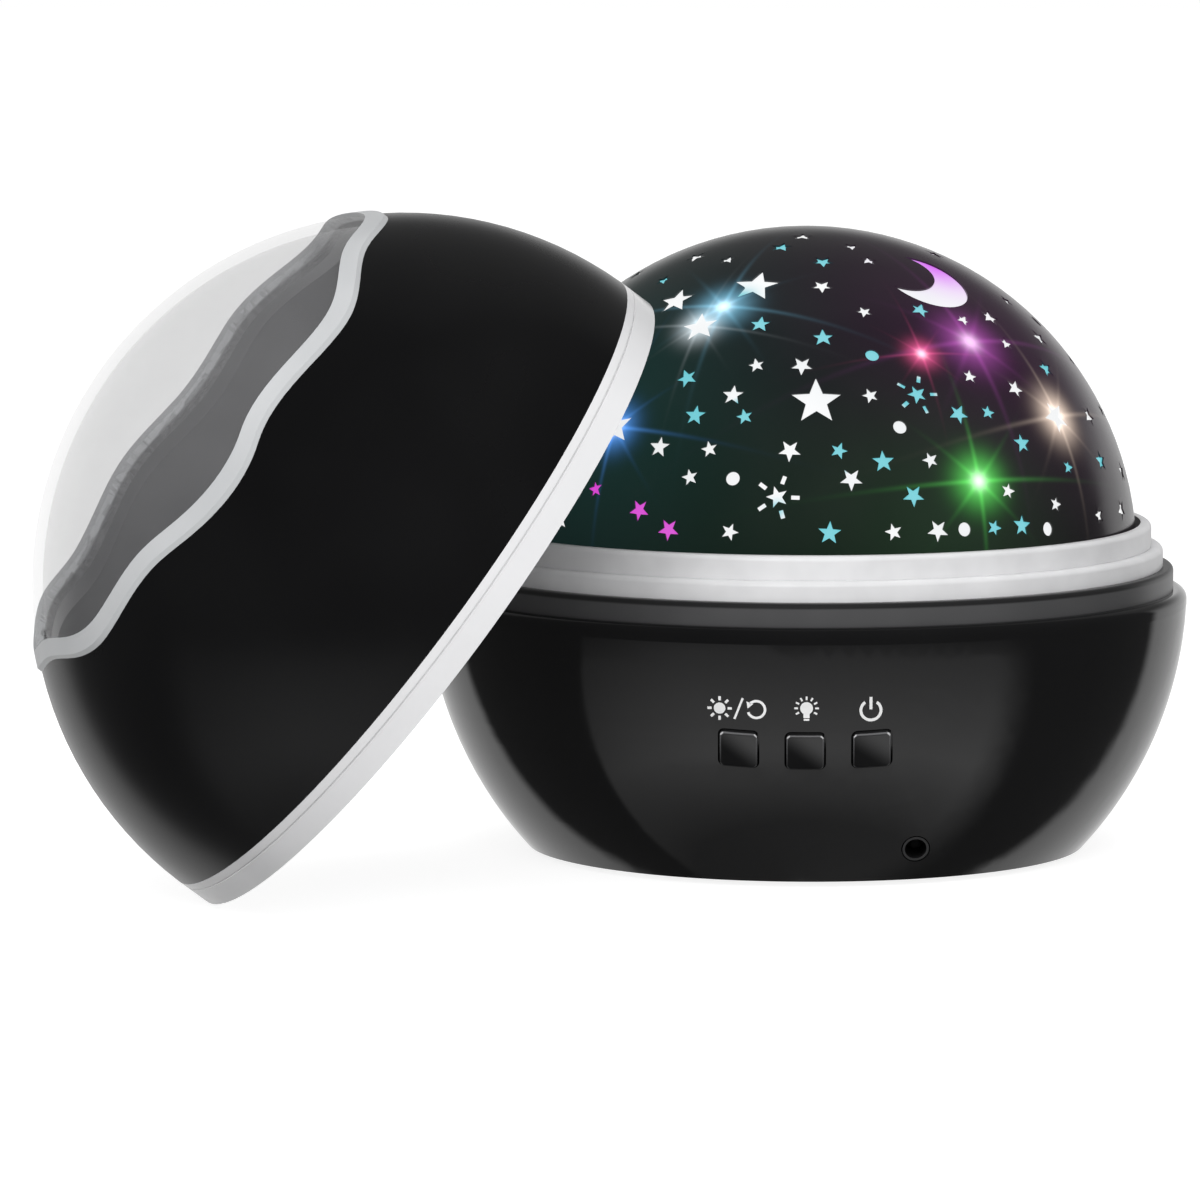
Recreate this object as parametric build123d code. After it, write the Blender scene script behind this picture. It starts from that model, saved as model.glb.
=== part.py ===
from build123d import *
import os
from math import acos, asin, cos, degrees, hypot, pi, radians, sin, sqrt, tan

os.makedirs("parts", exist_ok=True)

# A star projector night light with its lift-off cover leaning against it.
# Lengths are millimetres, Z is up from the table and the buttons face -Y.

# Clearances and overruns
seat_clearance = 0.2      # between pieces that are fixed together
run_clearance = 0.5       # between pieces that move past each other
shaft_clearance = 0.05    # radial, round the motor shaft
lift_clearance = 0.3      # over the turntable's flange
cut_overrun = 1.0         # how far a cutter passes a face

# Base bowl
rim_radius = 65.0         # the lamp's widest circle
foot_radius = 47.7        # lower edge of the bowl
bowl_rise = 41.5          # lower edge up to the widest circle
bowl_bulge = 3.9          # how far the side bows out from a straight cone
bowl_wall = 2.2
rim_lip = 2.6             # straight stretch above the widest circle
rim_round = 1.6
flange_thick = 2.0        # inner flange that carries the deck
ledge_thick = 2.2         # inner ledge that the bottom plate meets
ledge_width = 3.3
foot_ring = 1.9           # width of the bowl's lowest edge

# Deck and its collar
rim_ledge = 2.3           # step between the rim and the collar
collar_wall = 3.8
collar_round = 0.7
deck_thick = 2.0
deck_shelf = 4.9          # width of the shelf that the turntable runs on
hook_count = 4
hook_arm = 1.6
hook_width = 8.0
hook_reach = 1.0
hook_height = 1.4

# Silver ring that holds the turntable down and takes the cover
ring_seat_width = 2.0
ring_step_height = 3.4
ring_spigot_height = 4.0
ring_wall = 1.8
ring_round = 0.9

# Turntable, its ring gear and the pinion
flange_overlap = 1.3      # turntable flange under the silver ring
turntable_flange = 1.6
plate_thick = 2.5
skirt_wall = 1.6
skirt_drop = 1.8
ring_teeth = 56
pinion_teeth = 14
pressure_angle = 20.0
gear_backlash = 0.16
gear_face = 5.0
gear_rim = 2.6
gear_inset = 11.5         # pitch circle inside the turntable's skirt
pinion_face = 4.5
addendum_share = 1.0
dedendum_share = 1.25

# Dome
dome_gap = 0.6            # dome to silver ring
dome_skirt = 1.4          # dome below its widest circle
mask_thick = 0.3
lens_wall = 1.6

# Cut-outs in the star mask
star_width = 4.0          # a star across its points
spark_width = 3.1         # the smaller stars between them
big_star_width = 8.8
middle_star_width = 7.0
burst_width = 3.8         # star in the middle of a burst
ray_near = 2.3            # rays round it, from its middle
ray_far = 3.7
ray_width = 0.7
dot_width = 2.3
moon_width = 15.5
moon_bite_share = 0.8     # the circle that is taken out of the moon
moon_shift_share = 0.3
moon_turn = 130.0         # degrees, where the moon's open side points
star_points = 5
star_waist_share = 0.42
star_turn = 17.0          # degrees between one small star's tilt and the next

# Bottom plate, feet and screws
plate_wall = 2.2
foot_height = 0.8
foot_width = 8.0
foot_count = 4
foot_margin = 4.3         # foot to the plate's edge
boss_radius = 3.2
boss_height = 8.0
boss_count = 4
boss_inset = 1.0          # boss centres inside the ledge
screw_head_radius = 2.1
screw_head_height = 1.3
screw_shank_radius = 0.9
screw_slot = 0.6
screw_slot_depth = 0.6
bottom_screw_length = 7.0
short_screw_length = 4.0
head_pocket_clearance = 0.3

# Batteries, their tray and the door
battery_radius = 5.25
battery_length = 43.6
battery_nub_radius = 1.9
battery_nub_length = 0.9
battery_count = 3
battery_play = 0.3
tray_wall = 1.5
contact_thick = 0.4
contact_height = 8.0
contact_width = 7.0
leaf_bow = 3.4
leaf_gap = 0.05
door_thick = 1.4
door_lip = 1.8
door_tab = 7.0
door_tab_width = 12.0

# Gear motor and its stand
motor_width = 12.0
motor_depth = 10.0
motor_can_length = 15.0
gearbox_length = 9.0
motor_boss_radius = 2.5
motor_boss_height = 0.5
shaft_radius = 1.5
shaft_sunk = 5.0
pinion_gap = 1.0          # gearbox top to pinion
stand_wall = 1.6
stand_open = 4.0          # motor left clear above the stand
stand_ear = 6.5
stand_foot_thick = 2.5
stand_margin = 7.5        # stand to the plate's edge
tray_gap = 0.8            # stand to battery tray

# Light board, its pedestal and the light-emitting diodes
led_board_radius = 28.0
board_thick = 1.6
led_board_gap = 0.6
pedestal_foot_radius = 11.0
pedestal_neck_radius = 9.0
pedestal_gap = 2.5        # pedestal's head to the pinion
pedestal_flange = 2.0
pedestal_wall = 2.0
led_radius = 2.5
led_flange_radius = 2.9
led_flange_height = 1.0
led_body_height = 4.0
led_ring_radius = 9.0
led_screw_inset = 3.5     # screws inside the edge of the pedestal's head
led_screw_count = 3
led_turns = {"led_red": 60, "led_green": 180, "led_blue": 300}  # degrees from +X

# Buttons, their switches and the control board
button_width = 6.2
button_corner = 0.8
button_pitch = 10.9
button_height = 24.5      # centre of the row above the table
button_proud = 0.8
button_round = 0.4        # rounded edge of a cap
button_travel = 0.6
button_flange_width = 8.2
button_flange_thick = 1.0
button_slack = 0.3        # cap to hole, each side
plunger_radius = 1.7
plunger_out = 1.1
plunger_sunk = 1.2
plunger_slack = 0.3
switch_width = 6.0
switch_height = 3.6
control_board_width = 46.0
control_board_height = 15.0
post_radius = 2.4
post_place = 18.5

# Power inlet
jack_place = 18.3         # right of the middle
jack_height = 6.6         # above the table
jack_nose_radius = 2.2
jack_body_radius = 2.9
jack_bore_radius = 1.8
jack_pin_radius = 0.65
jack_pin_recess = 1.5
jack_length = 9.0
jack_back = 1.4

# Cover
cover_height = 65.2
cover_clearance = 0.2     # cover bore over the ring's spigot
cover_band = 5.6          # white rim
cover_lip = 1.4           # part of the rim above its groove
cover_groove = 0.3
cover_gate = 1.5          # flat gate mark on top, radius
wave_radius_share = 0.752  # of the cover's radius, to the middle line of the wavy edge
wave_swing = 0.9
wave_count = 8
wave_start = -7.0         # degrees, where a wave comes nearest to the rim
wave_samples = 4          # spline points to a wave
wave_seam_share = 0.5     # of a sample, keeps the spline's seam off the turned seam
trim_width = 2.0
trim_proud = 0.6

# How the cover leans
lean_tilt = 37.0          # degrees, cover axis above the table
lean_turn = 11.0          # degrees, cover axis from -X towards -Y
lean_front = 64.0         # foot of the cover in front of the lamp's middle
lean_gap = 0.4            # cover to lamp where it leans
lean_steps = 24
lean_samples = 180

# Heights that follow
bowl_bottom_z = foot_height
rim_z = bowl_bottom_z + bowl_rise
deck_seat_z = rim_z + rim_lip
turntable_seat_z = deck_seat_z + deck_thick
turntable_top_z = turntable_seat_z + turntable_flange
deck_top_z = turntable_top_z + lift_clearance
ring_step_z = deck_top_z + ring_step_height
ring_top_z = ring_step_z + ring_spigot_height
dome_z = turntable_top_z + dome_skirt
gear_z = turntable_top_z - plate_thick - gear_face
motor_top_z = gear_z - pinion_gap
led_board_z = gear_z + gear_face + led_board_gap
plate_top_z = bowl_bottom_z + plate_wall
door_top_z = bowl_bottom_z + door_thick
battery_z = door_top_z + battery_play + battery_radius
tray_roof_z = battery_z + battery_radius + battery_play

# Radii that follow, from the rim inwards
collar_radius = rim_radius - rim_ledge
collar_bore = collar_radius - collar_wall
flange_bore = collar_bore - seat_clearance - seat_clearance
turntable_radius = collar_bore - run_clearance
ring_bore = turntable_radius - flange_overlap
ring_spigot_radius = ring_bore + ring_wall
ring_step_radius = collar_bore + ring_seat_width
deck_bore = collar_bore - deck_shelf
skirt_radius = deck_bore - run_clearance
dome_radius = ring_bore - dome_gap
plate_recess_radius = foot_radius - foot_ring
plate_radius = plate_recess_radius - seat_clearance
ledge_radius = plate_recess_radius - ledge_width
boss_place_radius = ledge_radius - boss_inset
foot_place_radius = plate_recess_radius - foot_width / 2 - foot_margin
cover_radius = ring_step_radius
cover_bore = ring_spigot_radius + cover_clearance
wave_radius = wave_radius_share * cover_radius

# Gear sizes that follow: the motor stands as far back as the foot and the turntable let it
stand_depth = motor_depth + 2 * stand_wall
stand_width = motor_width + 2 * stand_wall
gear_room = (skirt_radius - gear_inset) * (1 - pinion_teeth / ring_teeth)
motor_y = min(plate_radius - stand_margin - stand_depth / 2, gear_room)
gear_module = 2 * motor_y / (ring_teeth - pinion_teeth)
ring_pitch_radius = gear_module * ring_teeth / 2
pinion_pitch_radius = gear_module * pinion_teeth / 2
ring_tip_radius = ring_pitch_radius - addendum_share * gear_module
ring_root_radius = ring_pitch_radius + dedendum_share * gear_module
pinion_tip_radius = pinion_pitch_radius + addendum_share * gear_module
pinion_root_radius = pinion_pitch_radius - dedendum_share * gear_module
pedestal_head_radius = motor_y - pinion_tip_radius - pedestal_gap
led_screw_radius = pedestal_head_radius - led_screw_inset

# Battery bay sizes that follow
battery_pitch = 2 * battery_radius + battery_play
bay_length = battery_length + battery_nub_length + leaf_bow + 2 * contact_thick
bay_width = battery_count * battery_pitch + battery_play
bay_y = motor_y - stand_depth / 2 - tray_gap - tray_wall - bay_width / 2

# Circle of the bowl's side, in radius and height
chord_run = rim_radius - foot_radius
chord_length = hypot(chord_run, bowl_rise)
side_radius = (chord_length**2 / 4 + bowl_bulge**2) / (2 * bowl_bulge)
side_reach = side_radius - bowl_bulge
side_centre_r = (rim_radius + foot_radius) / 2 - side_reach * bowl_rise / chord_length
side_centre_z = bowl_bottom_z + bowl_rise / 2 + side_reach * chord_run / chord_length


def bowl_radius(z, inset=0):
    return side_centre_r + sqrt((side_radius - inset) ** 2 - (z - side_centre_z) ** 2)


def turned(*edges):
    return revolve(Plane.XZ * make_face(Curve() + list(edges)), Axis.Z)


def side_arc(z_low, z_high, inset=0):
    z_mid = (z_low + z_high) / 2
    points = [(bowl_radius(z, inset), z) for z in (z_low, z_mid, z_high)]
    return ThreePointArc(*points)


def bowl_core(inset):
    # Everything within the bowl's side, less the inset, up to the widest circle
    low = (bowl_radius(bowl_bottom_z, inset), bowl_bottom_z)
    high = (bowl_radius(rim_z, inset), rim_z)
    return turned(
        side_arc(bowl_bottom_z, rim_z, inset),
        Polyline(high, (0, rim_z), (0, bowl_bottom_z), low),
    )


def drilled(z_low, z_high, radius):
    return Pos(0, 0, z_low) * Cylinder(
        radius, z_high - z_low, align=(Align.CENTER, Align.CENTER, Align.MIN)
    )


def block(width, depth, height):
    return Box(width, depth, height, align=(Align.CENTER, Align.CENTER, Align.MIN))


def ring_of(count, radius, shape, start=0):
    places = PolarLocations(radius, count, start_angle=start)
    return [place * shape for place in places]


def screw(length):
    # Head up, with the seat of the head on z = 0
    body = drilled(0, screw_head_height, screw_head_radius)
    body += drilled(-length, 0, screw_shank_radius)
    slot = Pos(0, 0, screw_head_height - screw_slot_depth) * block(
        screw_head_radius, screw_slot, screw_slot_depth + cut_overrun
    )
    return body - slot - Rot(0, 0, 90) * slot


def write(name, *solids):
    export_step(Compound(children=list(solids)), f"parts/{name}.step")


# Frame of the button row: x to the right, y up the wall, z out of the wall
button_r = bowl_radius(button_height)
button_normal = (
    0,
    -(button_r - side_centre_r) / side_radius,
    (button_height - side_centre_z) / side_radius,
)
button_plane = Plane(
    origin=(0, -button_r, button_height), x_dir=(1, 0, 0), z_dir=button_normal
)
button_places = [-button_pitch, 0, button_pitch]
button_names = ["rotate", "light", "power"]
flange_corner = hypot(button_pitch + button_flange_width / 2, button_flange_width / 2)
wall_sag = side_radius - sqrt(side_radius**2 - flange_corner**2)
cap_flange_z = -(bowl_wall + wall_sag + run_clearance)
cap_back_z = cap_flange_z - button_flange_thick
switch_top_z = cap_back_z - plunger_out
control_board_z = switch_top_z - switch_height


def base_bowl():
    flange_z = deck_seat_z - flange_thick
    ledge_z = plate_top_z + ledge_thick
    round_start = (rim_radius, deck_seat_z - rim_round)
    round_end = (rim_radius - rim_round, deck_seat_z)
    bowl = turned(
        side_arc(bowl_bottom_z, rim_z),
        Line((rim_radius, rim_z), round_start),
        RadiusArc(round_start, round_end, -rim_round),
        Polyline(
            round_end,
            (flange_bore, deck_seat_z),
            (flange_bore, flange_z),
            (bowl_radius(flange_z, bowl_wall), flange_z),
        ),
        side_arc(ledge_z, flange_z, bowl_wall),
        Polyline(
            (bowl_radius(ledge_z, bowl_wall), ledge_z),
            (ledge_radius, ledge_z),
            (ledge_radius, plate_top_z),
            (plate_recess_radius, plate_top_z),
            (plate_recess_radius, bowl_bottom_z),
            (foot_radius, bowl_bottom_z),
        ),
    )
    boss = drilled(plate_top_z, plate_top_z + boss_height, boss_radius)
    bowl += ring_of(boss_count, boss_place_radius, boss, 360 / boss_count / 2)
    pilot = drilled(
        plate_top_z - cut_overrun,
        bowl_bottom_z + screw_head_height + bottom_screw_length,
        screw_shank_radius,
    )
    bowl -= ring_of(boss_count, boss_place_radius, pilot, 360 / boss_count / 2)

    # Posts for the control board end inside the wall
    post_length = -control_board_z
    post = Pos(0, 0, control_board_z) * drilled(0, post_length, post_radius)
    thread = Pos(0, 0, control_board_z) * drilled(
        0, short_screw_length - board_thick, screw_shank_radius
    )
    core = bowl_core(bowl_wall / 2)
    for x in (-post_place, post_place):
        bowl += (button_plane * Pos(x, 0, 0) * post) & core
        bowl -= button_plane * Pos(x, 0, 0) * thread

    # Openings for the caps and the power inlet
    hole_width = button_width + 2 * button_slack
    hole = extrude(
        RectangleRounded(hole_width, hole_width, button_corner + button_slack),
        amount=cut_overrun - cap_flange_z,
    )
    for x in button_places:
        bowl -= button_plane * Pos(x, 0, cap_flange_z) * hole
    return bowl - jack_shape(seat_clearance)


def jack_plane():
    # On the inside of the wall, facing out to the front
    depth = sqrt(bowl_radius(jack_height, bowl_wall) ** 2 - jack_place**2)
    return Plane(
        origin=(jack_place, -depth + jack_body_radius, jack_height),
        x_dir=(1, 0, 0),
        z_dir=(0, -1, 0),
    )


def jack_shape(room=0):
    # Outer form of the power inlet, grown by the room left round it
    nose = Cylinder(
        jack_nose_radius + room,
        rim_radius,
        align=(Align.CENTER, Align.CENTER, Align.MIN),
    )
    body = Pos(0, 0, room) * Cylinder(
        jack_body_radius + room,
        jack_length + 2 * room,
        align=(Align.CENTER, Align.CENTER, Align.MAX),
    )
    return jack_plane() * (nose + body)


def dc_jack():
    shape = jack_shape() & bowl_core(0)
    floor_z = jack_back - jack_length
    bore = drilled(floor_z, rim_radius, jack_bore_radius)
    pin = drilled(floor_z, -jack_pin_recess, jack_pin_radius)
    return shape - jack_plane() * (bore - pin)


def deck():
    round_start = (collar_radius, deck_top_z - collar_round)
    round_end = (collar_radius - collar_round, deck_top_z)
    plate = turned(
        Polyline((deck_bore, deck_seat_z), (collar_radius, deck_seat_z), round_start),
        RadiusArc(round_start, round_end, -collar_round),
        Polyline(
            round_end,
            (collar_bore, deck_top_z),
            (collar_bore, turntable_seat_z),
            (deck_bore, turntable_seat_z),
            (deck_bore, deck_seat_z),
        ),
    )
    # Snap hooks that grip under the bowl's flange
    arm_r = flange_bore - seat_clearance
    barb_top = deck_seat_z - flange_thick - seat_clearance
    hook = make_face(
        Polyline(
            (arm_r - hook_arm, deck_seat_z),
            (arm_r, deck_seat_z),
            (arm_r, barb_top),
            (arm_r + hook_reach, barb_top),
            (arm_r, barb_top - hook_height),
            (arm_r - hook_arm, barb_top - hook_height),
            close=True,
        )
    )
    hook = extrude(Plane.XZ * hook, amount=hook_width / 2, both=True)
    return plate + [Rot(0, 0, 360 / hook_count * (i + 1 / 2)) * hook for i in range(hook_count)]


def silver_ring():
    step_start = (ring_step_radius, ring_step_z - ring_round)
    step_end = (ring_step_radius - ring_round, ring_step_z)
    top_start = (ring_spigot_radius, ring_top_z - ring_round)
    top_end = (ring_spigot_radius - ring_round, ring_top_z)
    return turned(
        Polyline((ring_bore, deck_top_z), (ring_step_radius, deck_top_z), step_start),
        RadiusArc(step_start, step_end, -ring_round),
        Polyline(step_end, (ring_spigot_radius, ring_step_z), top_start),
        RadiusArc(top_start, top_end, -ring_round),
        Polyline(top_end, (ring_bore, ring_top_z), (ring_bore, deck_top_z)),
    )


def involute(angle):
    return tan(angle) - angle


def tooth_half_angle(radius, teeth, pitch_radius, spare):
    # Half the angle of an involute tooth at a radius, wider by the spare at the pitch circle
    base = pitch_radius * cos(radians(pressure_angle))
    lean = acos(min(1, base / radius))
    return (
        pi / (2 * teeth)
        + involute(radians(pressure_angle))
        - involute(lean)
        + spare / (2 * pitch_radius)
    )


def gear_outline(teeth, pitch_radius, radii, spare, start=0):
    points = []
    for tooth in range(teeth):
        middle = radians(start) + 2 * pi * tooth / teeth
        flank = [(r, tooth_half_angle(r, teeth, pitch_radius, spare)) for r in radii]
        walk = [(r, -half) for r, half in flank] + [(r, half) for r, half in reversed(flank)]
        points += [(r * cos(middle + turn), r * sin(middle + turn)) for r, turn in walk]
    return make_face(Polyline(*points, close=True))


def turntable():
    spaces = gear_outline(
        ring_teeth,
        ring_pitch_radius,
        [ring_tip_radius, ring_pitch_radius, ring_root_radius],
        gear_backlash,
    )
    rim = Circle(ring_root_radius + gear_rim) - spaces
    gear = extrude(Pos(0, 0, gear_z) * rim, amount=gear_face)
    plate_z = turntable_top_z - plate_thick
    plate = turned(
        Polyline(
            (ring_root_radius, plate_z),
            (skirt_radius - skirt_wall, plate_z),
            (skirt_radius - skirt_wall, plate_z - skirt_drop),
            (skirt_radius, plate_z - skirt_drop),
            (skirt_radius, turntable_seat_z),
            (turntable_radius, turntable_seat_z),
            (turntable_radius, turntable_top_z),
            (ring_root_radius, turntable_top_z),
            close=True,
        )
    )
    return gear + plate


def drive_pinion():
    base = pinion_pitch_radius * cos(radians(pressure_angle))
    teeth = gear_outline(
        pinion_teeth,
        pinion_pitch_radius,
        [pinion_root_radius, base, pinion_pitch_radius, pinion_tip_radius],
        -gear_backlash,
        90,
    )
    wheel = teeth - Circle(shaft_radius)
    return Pos(0, motor_y, gear_z) * extrude(wheel, amount=pinion_face)


def motor_shaft():
    return Pos(0, motor_y, 0) * drilled(motor_top_z - shaft_sunk, gear_z + pinion_face, shaft_radius)


def gear_motor():
    can = extrude(
        Circle(motor_width / 2) & Rectangle(motor_width, motor_depth), amount=motor_can_length
    )
    gearbox = Pos(0, 0, motor_can_length) * block(motor_width, motor_depth, gearbox_length)
    top = motor_can_length + gearbox_length
    nose = drilled(top, top + motor_boss_height, motor_boss_radius)
    well = drilled(top - shaft_sunk, top + cut_overrun, shaft_radius + shaft_clearance)
    return Pos(0, motor_y, motor_top_z - top) * (can + gearbox + nose - well)


def motor_stand():
    floor_z = motor_top_z - motor_can_length - gearbox_length
    top_z = motor_top_z - stand_open
    stand = Pos(0, 0, plate_top_z) * block(stand_width, stand_depth, top_z - plate_top_z)
    stand += Pos(0, 0, plate_top_z) * block(
        stand_width + 2 * stand_ear, stand_depth, stand_foot_thick
    )
    pocket = Pos(0, 0, floor_z) * block(motor_width, motor_depth, top_z)
    # The lower part is cored out from behind, as a moulding is
    core_height = floor_z - plate_top_z - stand_foot_thick - stand_wall
    core = Pos(0, stand_wall, plate_top_z + stand_foot_thick) * block(
        motor_width, stand_depth, core_height
    )
    # A slot in the back lets the terminals and leads out
    slot = Pos(0, stand_depth / 2, floor_z) * block(motor_width / 2, motor_depth, top_z)
    stand -= [pocket, core, slot]
    for x in (-1, 1):
        hole = drilled(plate_top_z, plate_top_z + stand_foot_thick, screw_shank_radius)
        stand -= Pos(x * (stand_width + stand_ear) / 2, 0, 0) * hole
    return Pos(0, motor_y, 0) * stand


def motor_screws():
    seat = Pos(0, motor_y, plate_top_z + stand_foot_thick) * screw(short_screw_length)
    return [Pos(x * (stand_width + stand_ear) / 2, 0, 0) * seat for x in (-1, 1)]


def dome_shell(outer, inner):
    drop = dome_skirt
    start = degrees(asin(drop / outer))
    back = degrees(asin(drop / inner))
    low_out = (sqrt(outer**2 - drop**2), dome_z - drop)
    low_in = (sqrt(inner**2 - drop**2), dome_z - drop)
    return turned(
        CenterArc((0, dome_z), outer, -start, 90 + start),
        Line((0, dome_z + outer), (0, dome_z + inner)),
        CenterArc((0, dome_z), inner, -back, 90 + back),
        Line(low_in, low_out),
    )


def star(width):
    tip = width / 2
    radii = [tip, tip * star_waist_share] * star_points
    turn = pi / star_points
    return make_face(
        Polyline(
            *[(-r * sin(i * turn), r * cos(i * turn)) for i, r in enumerate(radii)], close=True
        )
    )


def burst():
    # A star with a short ray off each of its waists
    ray = Pos(0, -(ray_near + ray_far) / 2) * Rectangle(ray_width, ray_far - ray_near)
    return [star(burst_width)] + [Rot(0, 0, 360 / star_points * i) * ray for i in range(star_points)]


def moon():
    bite = Pos(moon_shift_share * moon_width, 0, 0) * Circle(moon_bite_share * moon_width / 2)
    return Circle(moon_width / 2) - bite


# Places of the cut-outs in degrees: right of the front, above the dome's widest circle
big_star_places = [(2, 33), (-17, 59)]
middle_star_places = [(-41, 54), (-28, 48), (-39, 27), (57, 28)]
moon_places = [(45, 60)]
burst_places = [(23, 34), (-5, 16)]
dot_places = [(15, 42), (18, 28), (-49, 28), (-13, 19), (28, 10), (46, 9), (-80, 50), (84, 46)]
star_rows = {
    79: [-4],
    73: [-15, 27],
    67: [-58, -37, 7, 28, 80],
    59: [-84, -56, 5],
    52: [-62, 16, 33, 76],
    49: [-12, 45, 56],
    46: [4],
    43: [-88, -71, -58, 54, 72],
    40: [-44, -11, -1],
    37: [-78, -57, -26, 37, 63, 86],
    34: [-15, 13, 48],
    30: [-22, -12, 31, 38],
    27: [-82, -66, 71, 84],
    24: [-28, -18, -3, 6, 44],
    22: [14, 23],
    19: [-74, -21, 8, 55, 68],
    16: [-49, -40, 19, 38, 80],
    13: [-86, -62, -30, 49],
    10: [-72, -47, -24, -13, 4, 15, 23, 34, 40, 62, 73],
}


def cut_out(azimuth, elevation, shape, spin=0):
    reach = dome_radius - mask_thick - cut_overrun
    tool = extrude(
        Plane.YZ.offset(reach) * Rot(0, 0, spin) * shape, amount=mask_thick + 2 * cut_overrun
    )
    return Pos(0, 0, dome_z) * Rot(0, 0, azimuth - 90) * Rot(0, -elevation, 0) * tool


def star_mask():
    sizes = [star(star_width), star(spark_width)]
    shapes = [(a, e, star(big_star_width), 0) for a, e in big_star_places]
    shapes += [(a, e, star(middle_star_width), star_turn) for a, e in middle_star_places]
    shapes += [(a, e, moon(), moon_turn) for a, e in moon_places]
    shapes += [(a, e, shape, star_turn) for a, e in burst_places for shape in burst()]
    shapes += [(a, e, Circle(dot_width / 2), 0) for a, e in dot_places]
    for e, row in star_rows.items():
        shapes += [(a, e, sizes[i % 2], star_turn * i) for i, a in enumerate(row)]
    # The same sky is cut twice, once on each half of the dome
    tools = [
        cut_out(a + half, e, shape, spin) for half in (0, 180) for a, e, shape, spin in shapes
    ]
    return dome_shell(dome_radius, dome_radius - mask_thick) - tools


def bottom_plate():
    plate = drilled(bowl_bottom_z, plate_top_z, plate_radius)
    window = Pos(0, bay_y, bowl_bottom_z - cut_overrun) * block(
        bay_length, bay_width, plate_wall + 2 * cut_overrun
    )
    plate -= [window, door_shape(seat_clearance)]
    head_room = screw_head_radius + head_pocket_clearance
    pocket = drilled(bowl_bottom_z - cut_overrun, bowl_bottom_z + screw_head_height, head_room)
    through = drilled(bowl_bottom_z, plate_top_z, screw_shank_radius)
    plate -= ring_of(boss_count, boss_place_radius, pocket + through, 360 / boss_count / 2)
    thread = drilled(
        plate_top_z + stand_foot_thick - short_screw_length, plate_top_z, screw_shank_radius
    )
    for x in (-1, 1):
        plate -= Pos(x * (stand_width + stand_ear) / 2, motor_y, 0) * thread
    return plate - Pos(door_screw_x(), bay_y, 0) * drilled(
        door_top_z, plate_top_z, screw_shank_radius
    )


def door_screw_x():
    return bay_length / 2 + door_lip + door_tab / 2


def door_shape(room=0):
    # Battery door with its screw tab, grown by the room left round it
    panel = block(
        bay_length + 2 * (door_lip + room), bay_width + 2 * (door_lip + room), door_thick
    )
    tab = Pos(door_screw_x(), 0, 0) * block(
        door_tab + 2 * room, door_tab_width + 2 * room, door_thick
    )
    return Pos(0, bay_y, bowl_bottom_z) * (panel + tab)


def battery_door():
    head_room = screw_head_radius + head_pocket_clearance
    seat_z = bowl_bottom_z + screw_head_height / 2
    pocket = drilled(bowl_bottom_z - cut_overrun, seat_z, head_room)
    through = drilled(bowl_bottom_z, door_top_z, screw_shank_radius)
    return door_shape() - Pos(door_screw_x(), bay_y, 0) * (pocket + through)


def door_screw():
    length = plate_top_z - bowl_bottom_z - screw_head_height / 2
    place = Pos(door_screw_x(), bay_y, bowl_bottom_z + screw_head_height / 2)
    return place * Rot(180, 0, 0) * screw(length)


def bottom_screws():
    one = Pos(0, 0, bowl_bottom_z + screw_head_height) * Rot(180, 0, 0) * screw(bottom_screw_length)
    return ring_of(boss_count, boss_place_radius, one, 360 / boss_count / 2)


def rubber_feet():
    foot = drilled(0, foot_height, foot_width / 2)
    return ring_of(foot_count, foot_place_radius, foot)


def battery_tray():
    outer = block(
        bay_length + 2 * tray_wall, bay_width + 2 * tray_wall, tray_roof_z + tray_wall - plate_top_z
    )
    inner = Pos(0, 0, -cut_overrun) * block(
        bay_length, bay_width, tray_roof_z - plate_top_z + cut_overrun
    )
    return Pos(0, bay_y, plate_top_z) * (outer - inner)


def battery_spots():
    first = -(battery_count - 1) / 2
    return [
        Pos(0, bay_y + (first + i) * battery_pitch, battery_z) * Rot(0, 0, 180 * (i % 2))
        for i in range(battery_count)
    ]


def batteries():
    # Negative end towards the leaf contact, positive nub on the plain one
    start = leaf_bow + contact_thick - bay_length / 2
    cell = drilled(start, start + battery_length, battery_radius)
    cell += drilled(
        start + battery_length, start + battery_length + battery_nub_length, battery_nub_radius
    )
    return [spot * Rot(0, 90, 0) * cell for spot in battery_spots()]


def battery_contacts():
    plate = Pos(bay_length / 2 - contact_thick / 2, 0, 0) * Box(
        contact_thick, contact_width, contact_height
    )
    foot = contact_thick - bay_length / 2
    crown = foot + leaf_bow - leaf_gap
    half = contact_height / 2
    outer = ThreePointArc((foot, -half), (crown, 0), (foot, half))
    inner = ThreePointArc(
        (foot, -half + contact_thick), (crown - contact_thick, 0), (foot, half - contact_thick)
    )
    bow = make_face(
        Curve()
        + [
            outer,
            inner,
            Line((foot, -half), (foot, -half + contact_thick)),
            Line((foot, half), (foot, half - contact_thick)),
        ]
    )
    leaf = extrude(Plane.XZ * bow, amount=contact_width / 2, both=True)
    leaf += Rot(0, 0, 180) * plate
    return [spot * piece for spot in battery_spots() for piece in (plate, leaf)]


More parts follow.
